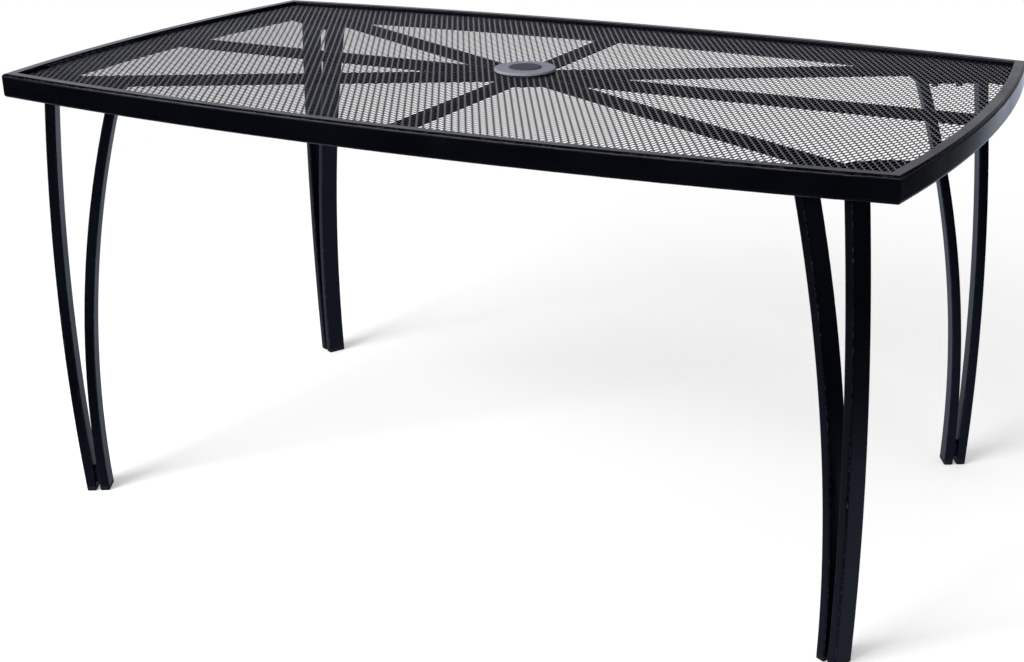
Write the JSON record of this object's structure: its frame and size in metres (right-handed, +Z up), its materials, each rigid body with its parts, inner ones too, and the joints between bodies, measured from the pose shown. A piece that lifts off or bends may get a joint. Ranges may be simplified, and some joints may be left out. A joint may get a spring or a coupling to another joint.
{
  "type": "garden table",
  "caption": "Rectangular steel garden table with bowed sides, a diamond mesh top, splayed double-tube legs and a capped umbrella hole in the middle.",
  "frame": {"origin": "on the floor under the middle of the table top", "axes": "+X along the long side, +Y across the table to the back, +Z up"},
  "size_m": [1.5, 0.8698, 0.7215],
  "materials": {
    "rim_steel": "satin black powder coat",
    "mesh_steel": "satin black powder coat on expanded steel",
    "frame_steel": "satin black powder coat",
    "leg_steel": "satin black powder coat",
    "fastener_steel": "black zinc plated",
    "foot_plastic": "matte black",
    "ring_plastic": "satin dark grey",
    "cap_plastic": "satin charcoal"
  },
  "bodies": {
    "table": {"front_rail": "rim_steel", "right_rail": "rim_steel", "back_rail": "rim_steel", "left_rail": "rim_steel", "mesh_top": "mesh_steel", "front_rib": "frame_steel", "right_rib": "frame_steel", "back_rib": "frame_steel", "left_rib": "frame_steel", "hub_cup": "frame_steel", "front_left_rib": "frame_steel", "front_left_corner_strap": "frame_steel", "front_left_corner_plate": "frame_steel", "front_left_leg_plate": "leg_steel", "front_left_outer_tube": "leg_steel", "front_left_outer_foot_cap": "foot_plastic", "front_left_inner_tube": "leg_steel", "front_left_inner_foot_cap": "foot_plastic", "front_left_foot_spacer": "leg_steel", "front_right_rib": "frame_steel", "front_right_corner_strap": "frame_steel", "front_right_corner_plate": "frame_steel", "front_right_leg_plate": "leg_steel", "front_right_outer_tube": "leg_steel", "front_right_outer_foot_cap": "foot_plastic", "front_right_inner_tube": "leg_steel", "front_right_inner_foot_cap": "foot_plastic", "front_right_foot_spacer": "leg_steel", "back_left_rib": "frame_steel", "back_left_corner_strap": "frame_steel", "back_left_corner_plate": "frame_steel", "back_left_leg_plate": "leg_steel", "back_left_outer_tube": "leg_steel", "back_left_outer_foot_cap": "foot_plastic", "back_left_inner_tube": "leg_steel", "back_left_inner_foot_cap": "foot_plastic", "back_left_foot_spacer": "leg_steel", "back_right_rib": "frame_steel", "back_right_corner_strap": "frame_steel", "back_right_corner_plate": "frame_steel", "back_right_leg_plate": "leg_steel", "back_right_outer_tube": "leg_steel", "back_right_outer_foot_cap": "foot_plastic", "back_right_inner_tube": "leg_steel", "back_right_inner_foot_cap": "foot_plastic", "back_right_foot_spacer": "leg_steel", "leg_bolts": "fastener_steel", "leg_washers": "fastener_steel", "leg_nuts": "fastener_steel", "umbrella_ring": "ring_plastic"},
    "umbrella_cap": {"umbrella_cap": "cap_plastic"}
  },
  "joints": [
    {"name": "cap_lift", "type": "slide", "parent": "table", "child": "umbrella_cap", "axis": [0, 0, 1], "range_m": [0, 0.06]}
  ]
}
